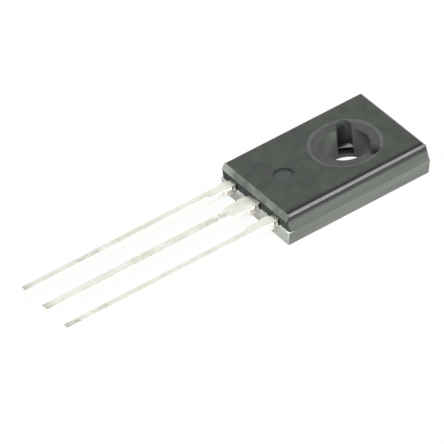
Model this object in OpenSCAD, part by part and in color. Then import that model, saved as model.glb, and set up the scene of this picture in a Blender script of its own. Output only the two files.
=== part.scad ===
// Three-lead plastic power triac, lying on its metal-backed mounting face.
// The origin is on the axis of the mounting hole, in the plane of the back.
// +Z points out of the front face, +Y to the hole end, and the leads run to -Y.
// Lengths are in millimetres and angles in degrees.

/* [Moulded body] */
// Width of the body, across the parting line
body_w = 7.5; // [7.3:0.05:8.2]
// Length of the body, from the lead end to the hole end
body_len = 11.1; // [10.85:0.05:11.9]
// Thickness of the body, from the back to the front face
body_t = 2.42; // [2.4:0.02:2.9]
// Lean of the long sides in front of the parting line
upper_side_draft = 8; // [3:0.5:12]
// Lean of the long sides behind the parting line
lower_side_draft = 11; // [3:0.5:14]
// Lean of both end walls
end_draft = 3; // [1:0.5:5]
// Width of the bevel round the front face
front_bevel_run = 0.15; // [0.08:0.01:0.25]
// Depth of the bevel round the front face
front_bevel_drop = 0.11; // [0.08:0.01:0.2]
// Width and height of the bevel round the back
back_bevel = 0.14; // [0.05:0.01:0.2]
// How far the front half sits in from the back half at the parting line
parting_step = 0.03; // [0.01:0.01:0.06]

/* [Lead end of the body] */
// Depth of the channel that the leads come out of
channel_depth = 0.14; // [0.06:0.01:0.2]
// Gap between the front of the leads and the brow over the channel
channel_gap = 0.23; // [0.05:0.01:0.3]
// Slope of the brow, from the channel back to the front face
brow_run = 0.28; // [0.1:0.01:0.35]

/* [Mounting hole] */
// Diameter of the hole
hole_d = 3.2; // [2.9:0.05:3.4]
// Distance from the hole's axis to the hole end of the body
hole_from_end = 3.9; // [3.7:0.05:4.2]
// Width of the slope on the front rim of the hole
hole_rim_run = 0.1; // [0.04:0.01:0.14]
// Depth of that slope
hole_rim_drop = 0.04; // [0.02:0.01:0.08]
// Diameter of the sunk seat round the hole
seat_d = 4.86; // [4.8:0.02:5.4]
// Depth of the sunk seat
seat_depth = 0.08; // [0.04:0.01:0.14]
// Width of the slope at the seat's edge
seat_edge = 0.2; // [0.06:0.01:0.25]
// Width of the two slots that the mould's clamping pins leave
slot_w = 1; // [0.7:0.02:1.1]
// Plastic between the end of a slot and the seat's edge
slot_land = 0.02; // [0.02:0.01:0.2]
// Plastic left under each slot where it opens into the hole
slot_web = 0.3; // [0.1:0.02:0.36]
// Angle of each slot above the line across the body
slot_angle = 32; // [20:1:45]

/* [Ejector mark] */
// Diameter of the sunk round mark
ejector_d = 1.36; // [1:0.02:1.6]
// Depth of the mark
ejector_depth = 0.1; // [0.04:0.01:0.14]
// Distance from the lead end of the body to the mark's centre
ejector_from_lead_end = 2.4; // [2.1:0.05:2.6]

/* [Leads] */
// Distance between the centre lines of neighbouring leads
lead_pitch = 2.39; // [2.29:0.01:2.54]
// Thickness of the sheet metal
metal_t = 0.5; // [0.4:0.02:0.56]
// Height of the back of the leads above the back of the body
lead_height = 1.2; // [1.1:0.02:1.3]
// Length of the leads outside the body
lead_len = 15.9; // [12:0.05:17]
// Width of an outer lead
outer_lead_w = 0.52; // [0.45:0.01:0.66]
// Width of the centre lead
centre_lead_w = 0.68; // [0.6:0.01:0.88]
// How far the centre lead's shoulder stands out on each side
centre_shoulder = 0.24; // [0.1:0.01:0.3]
// How far an outer lead's shoulder stands out, on its inner side only
outer_shoulder = 0.18; // [0.1:0.01:0.24]
// Length of the shoulder outside the body
shoulder_len = 1.9; // [1.5:0.05:2.5]
// How far the centre lead's neck stands out on each side
centre_neck = 0.22; // [0.1:0.01:0.24]
// How far an outer lead's neck stands out, on its inner side only
outer_neck = 0.12; // [0.05:0.01:0.18]
// Length of the neck outside the body
neck_len = 0.34; // [0.3:0.02:0.5]
// Height of the cut tie-bar stubs above the sides of a lead
stub_reach = 0.11; // [0.05:0.01:0.2]
// Length of a cut tie-bar stub
stub_len = 0.46; // [0.3:0.02:0.6]
// Slope from the shoulder to the lead
shoulder_taper = 0.24; // [0.1:0.02:0.4]

/* [Heat-sink tab] */
// Width of the tab in front of its coined edge
tab_w = 5.8; // [5:0.05:6.2]
// Plastic between the tab and the hole end of the body
tab_end_cover = 0.45; // [0.35:0.05:0.8]
// Plastic between the tab and the lead end of the body
tab_lead_cover = 1.6; // [1.5:0.05:1.7]
// Plastic that lines the hole through the tab
hole_lining = 0.36; // [0.3:0.02:0.46]
// Width of the coined step that keys the tab into the plastic
coin_w = 0.2; // [0.1:0.02:0.3]
// Height of the coined step above the back
coin_h = 0.22; // [0.14:0.02:0.28]
// Length of the bend that lifts the centre lead from the tab
bend_run = 1.1; // [1:0.05:1.2]

/* [Bond posts] */
// Width of the post at the inner end of each outer lead
post_w = 1.9; // [1.7:0.05:2]
// Length of the post
post_len = 1; // [0.8:0.05:1.1]
// Length of the narrow part between the post and the channel
post_root = 0.7; // [0.65:0.05:0.8]
// How far the post's centre line lies out from its lead
post_offset = 0.15; // [0:0.01:0.2]

/* [Chip] */
// Side of the square silicon chip
die_w = 1.8; // [1.6:0.05:2.2]
// Thickness of the chip
die_t = 0.24; // [0.18:0.01:0.3]
// Width of the passivated moat round the chip's front
moat_w = 0.16; // [0.1:0.01:0.22]
// Depth of the moat
moat_depth = 0.05; // [0.03:0.01:0.08]
// Thickness of the solder under the chip
solder_t = 0.05; // [0.03:0.01:0.08]
// Width of the solder that shows round the chip
solder_margin = 0.1; // [0.05:0.01:0.15]

/* [Bond wires] */
// Diameter of the wire to the main terminal lead
main_wire_d = 0.36; // [0.25:0.01:0.4]
// Diameter of the wire to the gate lead
gate_wire_d = 0.2; // [0.12:0.01:0.25]
// Rise of the main wire's arc above the straight line between its ends
main_wire_rise = 0.5; // [0.35:0.01:0.55]
// Rise of the gate wire's arc above the straight line between its ends
gate_wire_rise = 0.52; // [0.35:0.01:0.6]
// Length of a pressed bond foot, in wire diameters
foot_length = 1.8; // [1.4:0.1:2.2]
// Width of a pressed bond foot, in wire diameters
foot_width = 1.3; // [1.1:0.05:1.5]
// Height of a pressed bond foot, in wire diameters
foot_height = 0.4; // [0.3:0.05:0.6]

/* [Hidden] */
$fn = 96;
cut = 1; // how far a cutting solid runs past the face it opens

end_y = hole_from_end;
lead_end_y = hole_from_end - body_len;
channel_y = lead_end_y + channel_depth;
tip_y = lead_end_y - lead_len;
lead_top = lead_height + metal_t;
channel_top = lead_top + channel_gap;
seat_z = body_t - seat_depth;
slot_reach = seat_d / 2 - slot_land - slot_w / 2; // centre of a slot's round end
ejector_y = lead_end_y + ejector_from_lead_end;

tab_y0 = lead_end_y + tab_lead_cover;
tab_y1 = end_y - tab_end_cover;
tab_hole_r = hole_d / 2 + hole_lining;
bend_angle = atan(lead_height / bend_run);
bend_shift = metal_t * tan(bend_angle / 2);
bend_y = tab_y0 + coin_w;
bend_top_y = bend_y + bend_shift;

die_y = (bend_top_y - tab_hole_r) / 2; // midway between the bend and the hole in the tab
die_z = metal_t + solder_t;
die_top = die_z + die_t;

post_y0 = channel_y + post_root;
post_y1 = post_y0 + post_len;
main_side = -1;
gate_side = 1;

// Moulded plastic

function draft(height, angle) = height * tan(angle);

// Points of one side, from the back to the front, with the outer edge of the
// parting line at x = part and the front half set in by the step
function side_points(part, lower_angle, upper_angle) =
    let (
        bevel_z = body_t - front_bevel_drop,
        back_x = part - draft(lead_height, lower_angle),
        ridge_x = part - parting_step - draft(bevel_z - lead_height, upper_angle)
    )
    [
        [back_x - back_bevel + draft(back_bevel, lower_angle), 0],
        [back_x + draft(back_bevel, lower_angle), back_bevel],
        [part, lead_height],
        [part - parting_step, lead_height],
        [ridge_x, bevel_z],
        [ridge_x - front_bevel_run, body_t]
    ];

function reversed(list) = [for (i = [len(list) - 1 : -1 : 0]) list[i]];
function mirrored(list) = [for (p = reversed(list)) [-p.x, p.y]];

module cross_profile() {
    right = side_points(body_w / 2, lower_side_draft, upper_side_draft);
    polygon(concat(right, mirrored(right)));
}

module long_profile() {
    far = side_points(end_y, end_draft, end_draft);
    near = side_points(-lead_end_y, end_draft, end_draft);
    brow_y = lead_end_y + parting_step;
    channel = [
        [brow_y + brow_run, body_t],
        [brow_y, channel_top],
        [channel_y, channel_top],
        [channel_y, lead_height]
    ];
    near_back = mirrored([near[0], near[1], near[2]]);
    polygon(concat(far, channel, near_back));
}

module plastic_block() {
    intersection() {
        translate([0, end_y + cut, 0])
            rotate([90, 0, 0])
                linear_extrude(body_len + 2 * cut)
                    cross_profile();
        translate([-body_w / 2 - cut, 0, 0])
            rotate([90, 0, 90])
                linear_extrude(body_w + 2 * cut)
                    long_profile();
    }
}

module mounting_hole() {
    translate([0, 0, -cut])
        cylinder(h = body_t + 2 * cut, d = hole_d);
    translate([0, 0, seat_z - hole_rim_drop])
        cylinder(h = hole_rim_drop, d1 = hole_d, d2 = hole_d + 2 * hole_rim_run);
    translate([0, 0, seat_z])
        cylinder(h = seat_depth, d1 = seat_d - 2 * seat_edge, d2 = seat_d);
    translate([0, 0, body_t])
        cylinder(h = cut, d = seat_d);
}

module clamp_pin_slots() {
    for (angle = [slot_angle, 180 - slot_angle])
        rotate([0, 0, angle])
            translate([0, 0, slot_web])
                linear_extrude(body_t) {
                    translate([slot_reach, 0])
                        circle(d = slot_w);
                    translate([0, -slot_w / 2])
                        square([slot_reach, slot_w]);
                }
}

module ejector_mark() {
    translate([0, ejector_y, body_t - ejector_depth])
        cylinder(h = ejector_depth + cut, d = ejector_d);
}

module moulded_body() {
    color([0.17, 0.175, 0.17])
        difference() {
            plastic_block();
            mounting_hole();
            clamp_pin_slots();
            ejector_mark();
            tab_and_lead_metal();
            outer_lead_metal(main_side);
            outer_lead_metal(gate_side);
            solder_layer();
            chip_shape();
            main_wire_shape();
            gate_wire_shape();
        }
}

// Sheet metal

// Points of one side of a lead, from its tip to the channel, with a cut tie-bar
// stub between the shoulder and the neck
function lead_side(lead_w, shoulder, neck) =
    let (
        side_x = lead_w / 2,
        shoulder_y = lead_end_y - shoulder_len,
        stub_x = side_x + shoulder + stub_reach,
        stub_y0 = lead_end_y - neck_len
    )
    [
        [side_x, tip_y],
        [side_x, shoulder_y - shoulder_taper],
        [side_x + shoulder, shoulder_y],
        [side_x + shoulder, stub_y0 - stub_len],
        [stub_x, stub_y0 - stub_len],
        [stub_x, stub_y0],
        [side_x + neck, stub_y0 + (stub_x - side_x - neck)],
        [side_x + neck, channel_y]
    ];

module lead_blank(right, left) {
    translate([0, 0, lead_height])
        linear_extrude(metal_t)
            polygon(concat(right, mirrored(left)));
}

module tab_plate() {
    tab_len = tab_y1 - tab_y0;
    difference() {
        union() {
            translate([-tab_w / 2, tab_y0, coin_h])
                cube([tab_w, tab_len, metal_t - coin_h]);
            translate([-tab_w / 2 + coin_w, tab_y0 + coin_w, 0])
                cube([tab_w - 2 * coin_w, tab_len - 2 * coin_w, metal_t]);
        }
        translate([0, 0, -cut])
            cylinder(h = metal_t + 2 * cut, r = tab_hole_r);
    }
}

module lifted_neck() {
    overlap = coin_w;
    neck_w = centre_lead_w + 2 * centre_neck;
    translate([-neck_w / 2, 0, 0])
        rotate([90, 0, 90])
            linear_extrude(neck_w)
                polygon([
                    [bend_top_y + overlap, 0],
                    [bend_y, 0],
                    [bend_y - bend_run, lead_height],
                    [channel_y, lead_height],
                    [channel_y, lead_top],
                    [bend_top_y - bend_run, lead_top],
                    [bend_top_y, metal_t],
                    [bend_top_y + overlap, metal_t]
                ]);
}

module tab_and_lead_metal() {
    tab_plate();
    lifted_neck();
    side = lead_side(centre_lead_w, centre_shoulder, centre_neck);
    lead_blank(side, side);
}

// An outer lead with its bond post, drawn with the centre lead on its left
module outer_lead_blank() {
    inner = lead_side(outer_lead_w, outer_shoulder, outer_neck);
    outer = lead_side(outer_lead_w, 0, 0);
    lead_blank(outer, inner);
    translate([0, 0, lead_height])
        linear_extrude(metal_t) {
            translate([post_offset - post_w / 2, post_y0])
                square([post_w, post_len]);
            translate([-outer_lead_w / 2 - outer_neck, channel_y])
                square([outer_lead_w + outer_neck, post_root + post_len / 2]);
        }
}

module outer_lead_metal(side) {
    translate([side * lead_pitch, 0, 0])
        mirror([side < 0 ? 1 : 0, 0, 0])
            outer_lead_blank();
}

module centre_lead_and_tab() {
    color([0.86, 0.86, 0.82])
        tab_and_lead_metal();
}

module main_lead() {
    color([0.86, 0.86, 0.82])
        outer_lead_metal(main_side);
}

module gate_lead() {
    color([0.86, 0.86, 0.82])
        outer_lead_metal(gate_side);
}

// Chip and its solder

module chip_shape() {
    translate([-die_w / 2, die_y - die_w / 2, die_z])
        cube([die_w, die_w, die_t - moat_depth]);
    translate([-die_w / 2 + moat_w, die_y - die_w / 2 + moat_w, die_z])
        cube([die_w - 2 * moat_w, die_w - 2 * moat_w, die_t]);
}

module solder_layer() {
    solder_w = die_w + 2 * solder_margin;
    translate([-solder_w / 2, die_y - solder_w / 2, metal_t])
        cube([solder_w, solder_w, solder_t]);
}

module chip() {
    color([0.35, 0.36, 0.4])
        chip_shape();
}

module chip_solder() {
    color([0.7, 0.7, 0.72])
        solder_layer();
}

// Bond wires: an arc that ends in two pressed feet, on the chip and on the post

module bond_foot(at, direction, wire_d) {
    long_side = foot_length * wire_d;
    short_side = foot_width * wire_d;
    translate(at)
        rotate([0, 0, direction])
            translate([-long_side / 2, -short_side / 2, 0])
                cube([long_side, short_side, foot_height * wire_d]);
}

module bond_arc(from, to, rise, wire_d) {
    span = norm([to.x - from.x, to.y - from.y]);
    climb = to.z - from.z;
    chord = norm([span, climb]);
    arc_r = (chord * chord / 4 + rise * rise) / (2 * rise);
    half_angle = asin(chord / (2 * arc_r));
    translate(from)
        rotate([0, 0, atan2(to.y - from.y, to.x - from.x)])
            rotate([90, -atan2(climb, span), 0])
                translate([chord / 2, rise - arc_r, 0])
                    rotate([0, 0, 90 - half_angle])
                        rotate_extrude(angle = 2 * half_angle)
                            translate([arc_r, 0])
                                circle(d = wire_d);
}

module bond_wire_shape(from, to, rise, wire_d) {
    direction = atan2(to.y - from.y, to.x - from.x);
    block = 4 * wire_d;
    bond_foot(from, direction, wire_d);
    bond_foot(to, direction, wire_d);
    difference() {
        bond_arc(from, to, rise, wire_d);
        for (end = [from, to])
            translate(end - [block / 2, block / 2, block])
                cube(block);
    }
}

module main_wire_shape() {
    from = [-die_w / 8, die_y, die_top];
    to = [-lead_pitch - post_offset + post_w / 8, (post_y0 + post_y1) / 2, lead_top];
    bond_wire_shape(from, to, main_wire_rise, main_wire_d);
}

module gate_wire_shape() {
    from = [die_w / 4, die_y - die_w / 8, die_top];
    to = [lead_pitch + post_offset - post_w / 8, (post_y0 + post_y1) / 2, lead_top];
    bond_wire_shape(from, to, gate_wire_rise, gate_wire_d);
}

module main_bond_wire() {
    color([0.8, 0.8, 0.82])
        main_wire_shape();
}

module gate_bond_wire() {
    color([0.8, 0.8, 0.82])
        gate_wire_shape();
}

moulded_body();
centre_lead_and_tab();
main_lead();
gate_lead();
chip();
chip_solder();
main_bond_wire();
gate_bond_wire();
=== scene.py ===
import math

import bmesh
import bpy
from mathutils import Matrix, Vector


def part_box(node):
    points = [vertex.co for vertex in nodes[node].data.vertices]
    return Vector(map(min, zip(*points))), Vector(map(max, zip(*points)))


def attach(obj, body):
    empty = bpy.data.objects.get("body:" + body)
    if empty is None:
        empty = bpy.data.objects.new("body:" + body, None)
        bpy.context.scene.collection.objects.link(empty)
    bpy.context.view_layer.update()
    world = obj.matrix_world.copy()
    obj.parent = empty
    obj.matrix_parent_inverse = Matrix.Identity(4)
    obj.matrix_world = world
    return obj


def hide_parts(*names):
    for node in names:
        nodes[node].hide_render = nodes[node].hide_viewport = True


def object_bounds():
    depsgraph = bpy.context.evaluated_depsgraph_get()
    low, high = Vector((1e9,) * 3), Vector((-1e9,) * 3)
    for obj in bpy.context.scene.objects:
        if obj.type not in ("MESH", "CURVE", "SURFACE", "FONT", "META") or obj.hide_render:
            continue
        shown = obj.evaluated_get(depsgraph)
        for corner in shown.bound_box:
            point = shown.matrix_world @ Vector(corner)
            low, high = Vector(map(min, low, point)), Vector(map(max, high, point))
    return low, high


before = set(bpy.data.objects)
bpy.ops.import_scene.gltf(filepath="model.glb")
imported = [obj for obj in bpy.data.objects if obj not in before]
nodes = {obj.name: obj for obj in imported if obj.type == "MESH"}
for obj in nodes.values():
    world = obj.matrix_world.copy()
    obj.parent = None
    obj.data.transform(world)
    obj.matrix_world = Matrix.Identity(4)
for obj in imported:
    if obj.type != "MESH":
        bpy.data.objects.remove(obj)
cadLow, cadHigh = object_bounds()
mm = 0.001
print("frame loaded:", len(nodes), "nodes")

# Places that several pieces share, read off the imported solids
bodyLow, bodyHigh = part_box("moulded_body")
leadLow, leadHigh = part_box("main_lead")
leadBack = leadLow.z        # the mould's parting line is level with it
leadFront = leadHigh.z


# Helpers for the node materials

def newMaterial(name):
    mat = bpy.data.materials.new(name)
    mat.use_nodes = True
    tree = mat.node_tree
    tree.nodes.clear()
    out = tree.nodes.new("ShaderNodeOutputMaterial")
    shader = tree.nodes.new("ShaderNodeBsdfPrincipled")
    tree.links.new(shader.outputs[0], out.inputs["Surface"])
    return mat, tree, shader


def objectPlace(tree, stretch=(1, 1, 1)):
    # object coordinates in millimetres, squeezed along an axis to draw streaks
    coords = tree.nodes.new("ShaderNodeTexCoord")
    scale = tree.nodes.new("ShaderNodeMapping")
    scale.inputs["Scale"].default_value = [s / mm for s in stretch]
    tree.links.new(coords.outputs["Object"], scale.inputs["Vector"])
    return scale.outputs[0]


def axisOf(tree, place, axis):
    split = tree.nodes.new("ShaderNodeSeparateXYZ")
    tree.links.new(place, split.inputs[0])
    return split.outputs[axis]


def noise(tree, place, perMm, detail, rough):
    tex = tree.nodes.new("ShaderNodeTexNoise")
    tex.inputs["Scale"].default_value = perMm
    tex.inputs["Detail"].default_value = detail
    tex.inputs["Roughness"].default_value = rough
    tree.links.new(place, tex.inputs["Vector"])
    return tex.outputs["Fac"]


def spread(tree, value, fromLow, fromHigh, toLow, toHigh):
    node = tree.nodes.new("ShaderNodeMapRange")
    node.inputs["From Min"].default_value = fromLow
    node.inputs["From Max"].default_value = fromHigh
    node.inputs["To Min"].default_value = toLow
    node.inputs["To Max"].default_value = toHigh
    tree.links.new(value, node.inputs["Value"])
    return node.outputs[0]


def tint(tree, value, low, high):
    node = tree.nodes.new("ShaderNodeMix")
    node.data_type = "RGBA"
    node.inputs["A"].default_value = (*low, 1)
    node.inputs["B"].default_value = (*high, 1)
    tree.links.new(value, node.inputs["Factor"])
    return node.outputs["Result"]


def laidOver(tree, under, over, mask):
    node = tree.nodes.new("ShaderNodeMix")
    node.data_type = "RGBA"
    tree.links.new(mask, node.inputs["Factor"])
    tree.links.new(under, node.inputs["A"])
    node.inputs["B"].default_value = (*over, 1)
    return node.outputs["Result"]


def combine(tree, operation, a, b):
    node = tree.nodes.new("ShaderNodeMath")
    node.operation = operation
    tree.links.new(a, node.inputs[0])
    tree.links.new(b, node.inputs[1])
    return node.outputs[0]


def awayFrom(tree, place, point):
    node = tree.nodes.new("ShaderNodeVectorMath")
    node.operation = "DISTANCE"
    tree.links.new(place, node.inputs[0])
    node.inputs[1].default_value = point
    return node.outputs["Value"]


def relief(tree, height, depthMm, under=None):
    node = tree.nodes.new("ShaderNodeBump")
    node.inputs["Strength"].default_value = 1
    node.inputs["Distance"].default_value = depthMm * mm
    tree.links.new(height, node.inputs["Height"])
    if under is not None:
        tree.links.new(under, node.inputs["Normal"])
    return node.outputs[0]


# Black filled epoxy, as one material in many colour copies: most faces other than the front face
# get a lighter copy, and the leads' channel and the ejector mark's wall a darker one, which is
# painted light and shade for how light falls on each face. Streaks follow the way that the body
# slid out of the mould or along a rail. Where a band of painted light or shade lies towards one
# edge of a finish, its entry has the colour there, the gloss if that changes too, and the axis and
# the two places along it, in millimetres, between which it takes over.
epoxyFinish = {
    "mattFace": {
        "dark": (0.016, 0.020, 0.015), "light": (0.031, 0.036, 0.029),
        "rough": (0.42, 0.56), "streak": (1, 1, 1), "grainDepth": 0.0022, "gloss": 0.42,
        # painted shade: a darker, less glossy band on the front face along the front bevel on the
        # +x side
        "paintedBand": {"colour": (0.006, 0.008, 0.006), "axis": 0, "span": (3.00, 3.28), "gloss": 0.20},
    },
    "sunkSeat": {
        "dark": (0.023, 0.027, 0.023), "light": (0.032, 0.036, 0.031),
        "rough": (0.40, 0.52), "streak": (1, 1, 1), "grainDepth": 0.0016, "gloss": 0.44,
    },
    # Lighter than the front face: painted light for the pale floor that the side walls reflect. Its
    # band darkens the top of the wall under the front bevel with painted shade.
    "sideWall": {
        "dark": (0.040, 0.045, 0.039), "light": (0.064, 0.071, 0.062),
        "rough": (0.36, 0.50), "streak": (1, 0.07, 1), "grainDepth": 0.0012, "gloss": 0.5,
        "paintedBand": {"colour": (0.006, 0.007, 0.006), "axis": 2, "span": (1.90, 2.05)},
    },
    # much lighter than the walls: painted light on the ledge where the mould halves meet, against
    # the shadow under the step
    "partingLedge": {
        "dark": (0.16, 0.172, 0.157), "light": (0.26, 0.275, 0.255),
        "rough": (0.36, 0.50), "streak": (1, 0.07, 1), "grainDepth": 0.0012, "gloss": 0.5,
    },
    # lighter again below the parting line: painted light from the pale floor
    "sideWallBelow": {
        "dark": (0.060, 0.066, 0.058), "light": (0.098, 0.106, 0.095),
        "rough": (0.36, 0.50), "streak": (1, 0.07, 1), "grainDepth": 0.0012, "gloss": 0.5,
    },
    # lighter than the front face: painted light, as on the side walls
    "holeEndWall": {
        "dark": (0.044, 0.049, 0.043), "light": (0.070, 0.077, 0.068),
        "rough": (0.36, 0.50), "streak": (0.1, 1, 1), "grainDepth": 0.0020, "gloss": 0.5,
    },
    # far lighter than black epoxy: painted light from the pale floor that the end wall below the
    # leads faces
    "leadEndWall": {
        "dark": (0.150, 0.165, 0.137), "light": (0.232, 0.247, 0.215),
        "rough": (0.30, 0.44), "streak": (0.4, 1, 0.5), "grainDepth": 0.0018, "gloss": 0.5,
    },
    # Lighter than the front face: painted light, as on the side walls. Its band darkens the far
    # side of the bore with painted shade.
    "boreWall": {
        "dark": (0.052, 0.058, 0.051), "light": (0.074, 0.081, 0.072),
        "rough": (0.36, 0.50), "streak": (1, 1, 0.15), "grainDepth": 0.0018, "gloss": 0.5,
        "paintedBand": {"colour": (0.016, 0.019, 0.016), "axis": 1, "span": (0.9, 1.5)},
    },
    "slotWall": {
        "dark": (0.016, 0.019, 0.016), "light": (0.040, 0.045, 0.039),
        "rough": (0.45, 0.60), "streak": (1.6, 1.6, 0.2), "grainDepth": 0.0030, "gloss": 0.45,
    },
    # lighter than the front face: painted highlight along the front bevel, on top of the lamp's own
    # highlight
    "polishedRidge": {
        "dark": (0.050, 0.053, 0.049), "light": (0.080, 0.083, 0.078),
        "rough": (0.32, 0.40), "streak": (1, 0.2, 1), "grainDepth": 0.0006, "gloss": 0.5,
    },
    # lighter than the front face, and lighter again towards its -x end through its band: painted
    # highlight
    "roundedBrow": {
        "dark": (0.030, 0.036, 0.031), "light": (0.128, 0.136, 0.123),
        "rough": (0.28, 0.44), "streak": (0.9, 1, 1), "grainDepth": 0.0016, "gloss": 0.5,
        "paintedBand": {"colour": (0.20, 0.21, 0.195), "axis": 0, "span": (-2.1, -3.2)},
    },
    "ejectorFloor": {
        "dark": (0.022, 0.028, 0.026), "light": (0.033, 0.040, 0.037),
        "rough": (0.38, 0.50), "streak": (1, 1, 1), "grainDepth": 0.0010, "gloss": 0.46,
    },
    # painted shade: near black, so that the wall of the ejector mark reads as a dark crescent
    "ejectorWall": {
        "dark": (0.007, 0.009, 0.007), "light": (0.013, 0.015, 0.013),
        "rough": (0.55, 0.70), "streak": (1, 1, 1), "grainDepth": 0.0010, "gloss": 0.2,
    },
    # lighter than the front face: painted highlight on the seat's rim
    "sunkRim": {
        "dark": (0.045, 0.051, 0.045), "light": (0.062, 0.068, 0.060),
        "rough": (0.34, 0.46), "streak": (1, 1, 1), "grainDepth": 0.0010, "gloss": 0.5,
    },
    # painted shade: the walls of the leads' channel under the brow, darker than the front face
    "tornFlash": {
        "dark": (0.016, 0.019, 0.017), "light": (0.029, 0.033, 0.030),
        "rough": (0.80, 0.95), "streak": (1, 1, 1), "grainDepth": 0.0080, "gloss": 0.2,
    },
    # near white: painted highlight on the lip at the lead end
    "thinLip": {
        "dark": (0.58, 0.62, 0.57), "light": (0.72, 0.75, 0.70),
        "rough": (0.30, 0.42), "streak": (0.4, 1, 1), "grainDepth": 0.0010, "gloss": 0.5,
    },
}
epoxyGrain = {
    "cloud": (1.1, 4, 0.6),             # each noise: how many per mm, its detail and roughness
    "grain": (16, 2, 0.6),
    "specks": (9, 1, 0.4),
    "cloudSpan": (0.35, 0.65),          # the stretch of the noise that is used
    "grainSpan": (0.3, 0.7),
    "speckSpan": (0.74, 0.84),
    "speckColour": (0.17, 0.18, 0.16),  # filler grains that show at the surface
    "speckStrength": 0.5,
    "cloudDepth": 0.004,
    "ior": 1.55,
}


def epoxyMaterial(name, spec):
    mat, tree, shader = newMaterial(name)
    place = objectPlace(tree)
    along = objectPlace(tree, spec["streak"])
    cloud = noise(tree, along, *epoxyGrain["cloud"])
    grain = noise(tree, along, *epoxyGrain["grain"])
    specks = noise(tree, place, *epoxyGrain["specks"])
    clouded = spread(tree, cloud, *epoxyGrain["cloudSpan"], 0, 1)
    colour = tint(tree, clouded, spec["dark"], spec["light"])
    flecked = spread(tree, specks, *epoxyGrain["speckSpan"], 0, epoxyGrain["speckStrength"])
    colour = laidOver(tree, colour, epoxyGrain["speckColour"], flecked)
    shader.inputs["IOR"].default_value = epoxyGrain["ior"]
    shader.inputs["Specular IOR Level"].default_value = spec["gloss"]
    # a band of painted light or shade laid over the colour towards one edge, with its own gloss
    # where given
    if "paintedBand" in spec:
        bandSpec = spec["paintedBand"]
        paintedBand = spread(tree, axisOf(tree, place, bandSpec["axis"]), *bandSpec["span"], 0, 1)
        colour = laidOver(tree, colour, bandSpec["colour"], paintedBand)
        if "gloss" in bandSpec:
            gloss = spread(tree, paintedBand, 0, 1, spec["gloss"], bandSpec["gloss"])
            tree.links.new(gloss, shader.inputs["Specular IOR Level"])
    tree.links.new(colour, shader.inputs["Base Color"])
    roughness = spread(tree, grain, *epoxyGrain["grainSpan"], *spec["rough"])
    tree.links.new(roughness, shader.inputs["Roughness"])
    bumps = relief(tree, cloud, epoxyGrain["cloudDepth"])
    tree.links.new(relief(tree, grain, spec["grainDepth"], bumps), shader.inputs["Normal"])
    return mat


# Tin plate: the rolled faces in the tin's own colour, and the sheared sides and ends in a brighter
# copy of it, painted light for the pale floor that they face. The tab is frosted, and painted shade
# darkens it from 1.68 mm on the -x side of the hole's axis outwards, so that only a narrow glint
# shows in the slot. Places are in millimetres.
tinFinish = {
    "rolledTin": {
        "bright": (0.86, 0.87, 0.79), "dull": (0.70, 0.715, 0.62), "smear": (0.40, 0.41, 0.34),
        "smearFrom": 0.72, "rough": (0.22, 0.36), "metal": 1.0, "streakDepth": 0.0010,
        # ragged darker patches at these places along the leads, and darker towards the tips
        "marks": (
            (-2.39, -18.9), (-2.39, -17.8), (0, -9.6), (0, -10.8), (2.39, -20.4), (2.39, -22.3),
        ),
        "tip": (-22.3, -23.0),
    },
    # a brighter copy of the tin: painted light for the pale floor that the sides and ends face
    "shearedTin": {
        "bright": (0.98, 0.985, 0.95), "dull": (0.90, 0.91, 0.85), "smear": (0.80, 0.81, 0.74),
        "smearFrom": 0.70, "rough": (0.28, 0.42), "metal": 1.0, "streakDepth": 0.0008,
    },
    "frostedTin": {
        "bright": (0.97, 0.97, 0.95), "dull": (0.86, 0.86, 0.83), "smear": (0.80, 0.80, 0.77),
        "smearFrom": 0.70, "rough": (0.50, 0.65), "metal": 0.25, "streakDepth": 0.0016,
        # painted shade over the outer part of the tab, so that only a narrow glint shows in the
        # slot
        "paintedShade": (0.045, 0.050, 0.043), "paintedShadeBand": (-1.68, -1.94),
    },
}
tinGrain = {
    "cloud": (0.9, 3, 0.6),     # each noise as for the epoxy
    "smears": (1.3, 2, 0.5),
    "streaks": (14, 2, 0.5),
    "ragged": (5, 2, 0.6),
    "smearStretch": (1.6, 0.45, 1),
    "streakStretch": (1, 0.06, 1),
    "dullSpan": (0.4, 0.66),
    "roughSpan": (0.35, 0.65),
    "raggedSpan": (0.3, 0.7),
    "smearEdge": 0.08,
    "smearStrength": 0.8,
    "waveDepth": 0.005,
    "markSqueeze": 0.35,        # marks run along the leads
    "markEdge": (0.10, 0.38),
    "markRagged": 0.35,
    "markStrength": 0.75,
    "tipStrength": 0.6,
}


def darkLeadPatches(tree, place, spec, colour):
    # ragged darker patches at listed places across and along the leads, and darker towards the tips
    squeeze = tinGrain["markSqueeze"]
    squeezed = objectPlace(tree, (1, squeeze, 0))
    wobble = noise(tree, place, *tinGrain["ragged"])
    ragged = spread(tree, wobble, *tinGrain["raggedSpan"], 0, tinGrain["markRagged"])
    for x, y in spec["marks"]:
        away = combine(tree, "ADD", awayFrom(tree, squeezed, (x, squeeze * y, 0)), ragged)
        mark = spread(tree, away, *tinGrain["markEdge"], tinGrain["markStrength"], 0)
        colour = laidOver(tree, colour, spec["smear"], mark)
    tip = spread(tree, axisOf(tree, place, 1), *spec["tip"], 0, tinGrain["tipStrength"])
    return laidOver(tree, colour, spec["smear"], tip)


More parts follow.
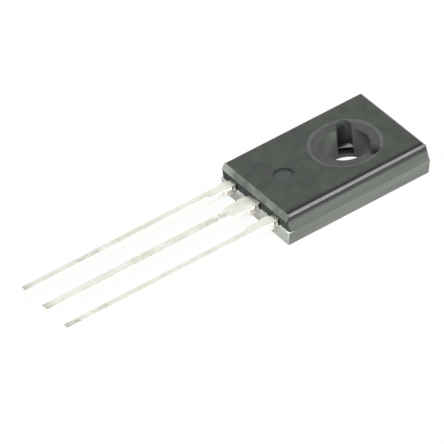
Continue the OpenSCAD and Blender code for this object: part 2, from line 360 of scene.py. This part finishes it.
def tinMaterial(name, spec):
    mat, tree, shader = newMaterial(name)
    place = objectPlace(tree)
    cloud = noise(tree, place, *tinGrain["cloud"])
    smears = noise(tree, objectPlace(tree, tinGrain["smearStretch"]), *tinGrain["smears"])
    streaks = noise(tree, objectPlace(tree, tinGrain["streakStretch"]), *tinGrain["streaks"])
    dulled = spread(tree, cloud, *tinGrain["dullSpan"], 0, 1)
    colour = tint(tree, dulled, spec["bright"], spec["dull"])
    smearTo = spec["smearFrom"] + tinGrain["smearEdge"]
    smeared = spread(tree, smears, spec["smearFrom"], smearTo, 0, tinGrain["smearStrength"])
    colour = laidOver(tree, colour, spec["smear"], smeared)
    if "marks" in spec:
        colour = darkLeadPatches(tree, place, spec, colour)
    # painted shade laid over the tab towards -x
    if "paintedShade" in spec:
        paintedShadeBand = spread(tree, axisOf(tree, place, 0), *spec["paintedShadeBand"], 0, 1)
        colour = laidOver(tree, colour, spec["paintedShade"], paintedShadeBand)
    tree.links.new(colour, shader.inputs["Base Color"])
    shader.inputs["Metallic"].default_value = spec["metal"]
    roughness = spread(tree, cloud, *tinGrain["roughSpan"], *spec["rough"])
    tree.links.new(roughness, shader.inputs["Roughness"])
    waves = relief(tree, cloud, tinGrain["waveDepth"])
    tree.links.new(relief(tree, streaks, spec["streakDepth"], waves), shader.inputs["Normal"])
    return mat


# Bare copper where the tie bars were cut off, and a near-black copy of it, painted shade, on the
# leads' sides in the channel and round the hole in the tab
copperFinish = {
    "cutCopper": {
        "bright": (0.98, 0.95, 0.90), "dark": (0.82, 0.68, 0.58),
        "roughness": 0.45, "tearDepth": 0.005,
    },
    # painted shade: near-black copper where the channel and the hole keep the light off
    "brownedCopper": {
        "bright": (0.060, 0.045, 0.034), "dark": (0.020, 0.016, 0.013),
        "roughness": 0.70, "tearDepth": 0.004,
    },
}
copperGrain = {
    "patches": (3.2, 3, 0.6),
    "tears": (18, 2, 0.6),
    "tearStretch": (1, 1, 0.3),
    "patchSpan": (0.42, 0.62),
}


def copperMaterial(name, spec):
    mat, tree, shader = newMaterial(name)
    patches = noise(tree, objectPlace(tree), *copperGrain["patches"])
    tears = noise(tree, objectPlace(tree, copperGrain["tearStretch"]), *copperGrain["tears"])
    patched = spread(tree, patches, *copperGrain["patchSpan"], 0, 1)
    colour = tint(tree, patched, spec["bright"], spec["dark"])
    tree.links.new(colour, shader.inputs["Base Color"])
    shader.inputs["Metallic"].default_value = 1
    shader.inputs["Roughness"].default_value = spec["roughness"]
    tree.links.new(relief(tree, tears, spec["tearDepth"]), shader.inputs["Normal"])
    return mat


# What stays sealed inside the epoxy
innerFinish = {
    "polishedSilicon": {
        "dark": (0.10, 0.11, 0.14), "light": (0.16, 0.17, 0.20), "roughness": 0.12, "perMm": 6,
    },
    "dullSolder": {
        "dark": (0.45, 0.45, 0.46), "light": (0.60, 0.60, 0.60), "roughness": 0.45, "perMm": 5,
    },
    "drawnWire": {
        "dark": (0.78, 0.78, 0.79), "light": (0.88, 0.88, 0.88), "roughness": 0.30, "perMm": 8,
    },
}
innerGrain = {"detail": 2, "rough": 0.5, "span": (0.35, 0.65), "depth": 0.002}


def innerMaterial(name, spec):
    mat, tree, shader = newMaterial(name)
    place = objectPlace(tree)
    mottle = noise(tree, place, spec["perMm"], innerGrain["detail"], innerGrain["rough"])
    mottled = spread(tree, mottle, *innerGrain["span"], 0, 1)
    colour = tint(tree, mottled, spec["dark"], spec["light"])
    tree.links.new(colour, shader.inputs["Base Color"])
    shader.inputs["Metallic"].default_value = 1
    shader.inputs["Roughness"].default_value = spec["roughness"]
    tree.links.new(relief(tree, mottle, innerGrain["depth"]), shader.inputs["Normal"])
    return mat


materials = {}
for makeFinish, finishes in (
    (epoxyMaterial, epoxyFinish),
    (tinMaterial, tinFinish),
    (copperMaterial, copperFinish),
    (innerMaterial, innerFinish),
):
    for name, spec in finishes.items():
        materials[name] = makeFinish(name, spec)
print("materials made:", len(materials))


# Helpers for the pieces

meshTidy = {
    "weldGap": 0.0002 * mm,
    "flatAngle": 0.4,       # degrees, below which two faces are one flat face
    "touch": 0.01 * mm,     # what lies closer than this is level
}
# How much of a face's normal, or of an edge's direction, lies along an axis
flatOn = 0.97
nearlyFlatOn = 0.9
slanted = 0.4
uprightEdge = 0.7


def openCopy(nodeName):
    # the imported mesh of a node, welded, with its flat faces made whole
    bm = bmesh.new()
    bm.from_mesh(nodes[nodeName].data)
    bmesh.ops.remove_doubles(bm, verts=bm.verts, dist=meshTidy["weldGap"])
    flat = math.radians(meshTidy["flatAngle"])
    bmesh.ops.dissolve_limit(bm, angle_limit=flat, verts=bm.verts, edges=bm.edges)
    bm.normal_update()
    return bm


def cutAcross(bm, y):
    # splits the faces at a place along the body, so that finishes can end there
    everything = bm.verts[:] + bm.edges[:] + bm.faces[:]
    bmesh.ops.bisect_plane(bm, geom=everything, plane_co=(0, y, 0), plane_no=(0, 1, 0))


def closeCopy(bm, pieceName, finishNames, finishOf, weightOf, smoothAngle):
    # gives each face its finish and each edge its share of the rounding
    weights = bm.edges.layers.float.new("bevel_weight_edge")
    for face in bm.faces:
        face.smooth = True
        face.material_index = finishNames.index(finishOf(face))
    for edge in bm.edges:
        edge.smooth = edge.calc_face_angle(math.pi) < math.radians(smoothAngle)
        if len(edge.link_faces) == 2:
            edge[weights] = weightOf(edge)
    mesh = bpy.data.meshes.new(pieceName)
    bm.to_mesh(mesh)
    bm.free()
    for name in finishNames:
        mesh.materials.append(materials[name])
    piece = bpy.data.objects.new(pieceName, mesh)
    bpy.context.scene.collection.objects.link(piece)
    return piece


def roundEdges(piece, width, segments):
    bevel = piece.modifiers.new("edges", "BEVEL")
    bevel.limit_method = "WEIGHT"
    bevel.width = width
    bevel.segments = segments
    bevel.use_clamp_overlap = False
    bevel.miter_outer = "MITER_SHARP"
    normals = piece.modifiers.new("normals", "WEIGHTED_NORMAL")
    normals.keep_sharp = True


def seat(piece, nodeName):
    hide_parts(nodeName)
    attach(piece, "root")


def outFrom(point, x=0, y=0):
    # how far a point is from an upright axis, by itself the axis of the mounting hole
    return math.hypot(point.x - x, point.y - y)


# Moulded body
bodyLook = {
    "radius": 0.13 * mm,        # on the four upright corners
    "ridgeShare": 0.22,         # of that radius, on the upper edge of the front bevel
    "ridgeFootShare": 0.30,     # and on its lower edge
    "browShare": 0.55,          # and on the upper edge of the brow over the leads
    "segments": 3,
    "smoothAngle": 28,          # degrees, above which an edge stays crisp
    "cornerTurn": 60,           # degrees that an edge turns by, at least, to be a corner
    "bevelTurn": 12,            # or to be an edge of the front bevel
    "bevelDepth": 0.1 * mm,     # that bevel's edges are further than this in front of the leads
    "cornerReach": 0.86,        # shares of half the width, for the upright corners
    "wallReach": 0.9,           # and for the long side walls
    "nearEnd": 0.4 * mm,
    "seamLength": 0.05 * mm,
    "rimReach": 2.5 * mm,       # how far the sunk seat reaches from the hole's axis
    "holeRimReach": 1.8 * mm,
    "ejectorPlace": (0, -4.8 * mm),
    "ejectorReach": 0.75 * mm,
}


def bodyFinish(face):
    n = face.normal
    c = face.calc_center_median()
    farthest = max(outFrom(v.co) for v in face.verts)
    nearHole = outFrom(c) < bodyLook["rimReach"]
    sunk = leadFront < c.z < bodyHigh.z - meshTidy["touch"]
    atLeadEnd = c.y < bodyLow.y + bodyLook["nearEnd"]
    if sunk and outFrom(c, *bodyLook["ejectorPlace"]) < bodyLook["ejectorReach"]:
        return "ejectorFloor" if n.z > flatOn else "ejectorWall"
    if n.z > flatOn:
        if sunk and nearHole:
            return "sunkSeat"
        if c.z > leadFront or farthest < bodyLook["rimReach"]:
            return "mattFace"
        return "thinLip" if atLeadEnd else "partingLedge"
    if n.z > slanted:
        if nearHole:
            return "sunkRim" if outFrom(c) > bodyLook["holeRimReach"] else "mattFace"
        return "roundedBrow" if n.y < -slanted else "polishedRidge"
    if n.z < -slanted:
        return "mattFace"
    if nearHole:
        return "boreWall" if farthest < bodyLook["holeRimReach"] else "slotWall"
    if atLeadEnd and n.y < -nearlyFlatOn:
        return "tornFlash" if c.z > leadBack else "leadEndWall"
    if abs(n.x) > nearlyFlatOn and abs(c.x) > bodyLook["wallReach"] * bodyHigh.x:
        return "sideWall" if c.z > leadBack else "sideWallBelow"
    return "holeEndWall" if n.y > nearlyFlatOn else "mattFace"


def bodyEdgeWeight(edge):
    a, b = edge.verts[0].co, edge.verts[1].co
    middle = (a + b) / 2
    turn = math.degrees(edge.calc_face_angle_signed(0))
    if abs((b - a).normalized().z) > uprightEdge:
        atEnd = min(bodyHigh.y - middle.y, middle.y - bodyLow.y) < bodyLook["nearEnd"]
        atSide = abs(middle.x) > bodyLook["cornerReach"] * bodyHigh.x
        return 1.0 if atEnd and atSide and turn > bodyLook["cornerTurn"] else 0.0
    onFront = middle.z > leadFront + bodyLook["bevelDepth"]
    if onFront and turn > bodyLook["bevelTurn"] and outFrom(middle) > bodyLook["rimReach"]:
        finishes = {bodyFinish(f) for f in edge.link_faces}
        if finishes == {"roundedBrow", "mattFace"}:
            return bodyLook["browShare"]
        if "polishedRidge" in finishes and "roundedBrow" not in finishes:
            return bodyLook["ridgeShare" if "mattFace" in finishes else "ridgeFootShare"]
    return 0.0


def makeBody():
    bm = openCopy("moulded_body")
    cutAcross(bm, bodyLow.y + bodyLook["nearEnd"])
    # the parting ledge turns the far corners as one flat face, so its seam goes
    flat = math.radians(meshTidy["flatAngle"])
    seam = [
        e for e in bm.edges
        if e.calc_length() < bodyLook["seamLength"] and e.calc_face_angle(math.pi) < flat
        and min(v.co.y for v in e.verts) > bodyHigh.y - bodyLook["nearEnd"]
    ]
    bmesh.ops.dissolve_edges(bm, edges=seam)
    finishNames = list(epoxyFinish)
    piece = closeCopy(
        bm, "mouldedBody", finishNames, bodyFinish, bodyEdgeWeight, bodyLook["smoothAngle"]
    )
    roundEdges(piece, bodyLook["radius"], bodyLook["segments"])
    seat(piece, "moulded_body")
    return piece


# Leads, and the tab that the centre lead is bent from
leadLook = {
    "edgeRadius": 0.035 * mm,
    "edgeAngle": 30,
    "segments": 2,
    "smoothAngle": 40,
    "stubCut": (-8.02 * mm, -7.52 * mm),    # the cut tie bars lie between these two places
    "flushCut": (-7.68 * mm, -7.22 * mm),   # and on the outer sides of the outer leads here
    "rootEnd": -6.9 * mm,                   # inside the body, past the leads' channel
    "tabHoleReach": 2.1 * mm,
}
leadFinishes = ["rolledTin", "shearedTin", "frostedTin", "cutCopper", "brownedCopper"]


def leadFinish(face):
    n = face.normal
    c = face.calc_center_median()
    if c.y > leadLook["rootEnd"]:
        if abs(n.z) < slanted and outFrom(c) < leadLook["tabHoleReach"]:
            return "brownedCopper"
        return "frostedTin" if n.z > nearlyFlatOn else "rolledTin"
    if abs(n.z) > nearlyFlatOn:
        return "rolledTin"
    if abs(n.x) < nearlyFlatOn:
        return "shearedTin"
    if c.y > bodyLow.y:
        return "brownedCopper"
    outerSide = n.x * c.x > 0 and abs(c.x) > abs(leadHigh.x)
    cutFrom, cutTo = leadLook["flushCut" if outerSide else "stubCut"]
    return "cutCopper" if cutFrom < c.y < cutTo else "shearedTin"


def leadEdgeWeight(edge):
    outside = max(v.co.y for v in edge.verts) < bodyLow.y + meshTidy["touch"]
    return 1.0 if outside and edge.calc_face_angle(0) > math.radians(leadLook["edgeAngle"]) else 0.0


def makeLead(nodeName, pieceName):
    bm = openCopy(nodeName)
    for y in (*leadLook["flushCut"], bodyLow.y, leadLook["rootEnd"]):
        cutAcross(bm, y)
    piece = closeCopy(
        bm, pieceName, leadFinishes, leadFinish, leadEdgeWeight, leadLook["smoothAngle"]
    )
    roundEdges(piece, leadLook["edgeRadius"], leadLook["segments"])
    seat(piece, nodeName)
    return piece


pieces = [
    makeBody(),
    makeLead("centre_lead_and_tab", "centreLeadAndTab"),
    makeLead("main_lead", "mainLead"),
    makeLead("gate_lead", "gateLead"),
]
innerPieces = {
    "chip": "polishedSilicon",
    "chip_solder": "dullSolder",
    "main_bond_wire": "drawnWire",
    "gate_bond_wire": "drawnWire",
}
for nodeName, finish in innerPieces.items():
    nodes[nodeName].material_slots[0].material = materials[finish]
print("pieces made:", len(pieces), "and", len(innerPieces), "inside")


# Floor and sky
stage = {
    "floorSize": 1.2,
    "floorGap": 0.01 * mm,      # keeps the floor clear of the flat back
    "floorColour": (0.90, 0.90, 0.89),
    "whiteShare": 0.93,         # of the floor's look, the rest takes the shadow
    "skyForLight": 0.30,        # the sky looks white, and lights the body by this much
}


def whiteRays(tree):
    # 1 where a camera, mirror or see-through ray looks at the surface
    rays = tree.nodes.new("ShaderNodeLightPath").outputs
    seen = combine(tree, "MAXIMUM", rays["Is Camera Ray"], rays["Is Glossy Ray"])
    return combine(tree, "MAXIMUM", seen, rays["Is Transmission Ray"])


def makeFloor(spec):
    mesh = bpy.data.meshes.new("floor")
    half = spec["floorSize"] / 2
    corners = [(-half, -half, 0), (half, -half, 0), (half, half, 0), (-half, half, 0)]
    mesh.from_pydata(corners, [], [(0, 1, 2, 3)])
    floor = bpy.data.objects.new("floor", mesh)
    floor.location.z = cadLow.z - spec["floorGap"]
    bpy.context.scene.collection.objects.link(floor)
    mat, tree, shader = newMaterial("paleFloor")
    shader.inputs["Base Color"].default_value = (*spec["floorColour"], 1)
    shader.inputs["Roughness"].default_value = 1
    shader.inputs["Specular IOR Level"].default_value = 0
    glow = tree.nodes.new("ShaderNodeEmission")
    mix = tree.nodes.new("ShaderNodeMixShader")
    tree.links.new(spread(tree, whiteRays(tree), 0, 1, 0, spec["whiteShare"]), mix.inputs[0])
    tree.links.new(shader.outputs[0], mix.inputs[1])
    tree.links.new(glow.outputs[0], mix.inputs[2])
    out = next(n for n in tree.nodes if n.type == "OUTPUT_MATERIAL")
    tree.links.new(mix.outputs[0], out.inputs["Surface"])
    mesh.materials.append(mat)


def makeSky(spec):
    world = bpy.data.worlds.new("paleSky")
    bpy.context.scene.world = world
    world.use_nodes = True
    tree = world.node_tree
    back = next(n for n in tree.nodes if n.type == "BACKGROUND")
    back.inputs["Color"].default_value = (1, 1, 1, 1)
    strength = spread(tree, whiteRays(tree), 0, 1, spec["skyForLight"], 1)
    tree.links.new(strength, back.inputs["Strength"])


# Each lamp: direction from the body as azimuth and elevation, distance, width and
# how brightly it lights a white card that faces it (1 is full white)
lamps = {
    "keyLamp": {"azimuth": 62, "elevation": 64, "distance": 0.35, "size": 0.16, "light": 0.25},
    "ridgeLamp": {"azimuth": 138, "elevation": 57, "distance": 0.35, "size": 0.15, "light": 0.30},
    "sideLamp": {"azimuth": 112, "elevation": 20, "distance": 0.35, "size": 0.10, "light": 1.05},
    "endLamp": {"azimuth": 22, "elevation": 20, "distance": 0.35, "size": 0.10, "light": 1.15},
}


def turnedFrom(azimuth, elevation):
    a, e = math.radians(azimuth), math.radians(elevation)
    return Vector((math.sin(a) * math.cos(e), -math.cos(a) * math.cos(e), math.sin(e)))


def makeLamp(name, spec):
    data = bpy.data.lights.new(name, "AREA")
    data.shape = "DISK"
    data.size = spec["size"]
    data.energy = math.pi ** 2 * spec["distance"] ** 2 * spec["light"]
    lamp = bpy.data.objects.new(name, data)
    away = turnedFrom(spec["azimuth"], spec["elevation"])
    aim = (bodyLow + bodyHigh) / 2
    lamp.location = aim + away * spec["distance"]
    lamp.rotation_mode = "QUATERNION"
    lamp.rotation_quaternion = away.to_track_quat("Z", "Y")
    bpy.context.scene.collection.objects.link(lamp)


makeFloor(stage)
makeSky(stage)
for name, spec in lamps.items():
    makeLamp(name, spec)
print("stage and lamps made:", len(lamps), "lamps")


# Camera
cameraSetup = {
    "azimuth": 59.61,
    "elevation": 39.0,
    "roll": -7.09,
    "distance": 421.4 * mm,
    "aside": -8.02 * mm,        # shifts that keep the whole part in the frame
    "upward": -3.14 * mm,
    "focalPixels": 6632,
    "framePixels": 444,
    "sensorMm": 36,
    "clipStart": 0.01,
    "clipEnd": 10,
}


def makeCamera(spec):
    data = bpy.data.cameras.new("camera")
    data.sensor_width = spec["sensorMm"]
    data.lens = spec["focalPixels"] / spec["framePixels"] * spec["sensorMm"]
    data.clip_start = spec["clipStart"]
    data.clip_end = spec["clipEnd"]
    camera = bpy.data.objects.new("camera", data)
    back = turnedFrom(spec["azimuth"], spec["elevation"])
    a, roll = math.radians(spec["azimuth"]), math.radians(spec["roll"])
    level = Vector((math.cos(a), math.sin(a), 0))
    upright = back.cross(level)
    right = level * math.cos(roll) + upright * math.sin(roll)
    up = upright * math.cos(roll) - level * math.sin(roll)
    place = back * spec["distance"] + right * spec["aside"] + up * spec["upward"]
    turn = Matrix((right, up, back)).transposed().to_4x4()
    camera.matrix_world = Matrix.Translation(place) @ turn
    bpy.context.scene.collection.objects.link(camera)
    bpy.context.scene.camera = camera


makeCamera(cameraSetup)
bpy.context.scene.view_settings.view_transform = "Standard"
print("camera made")
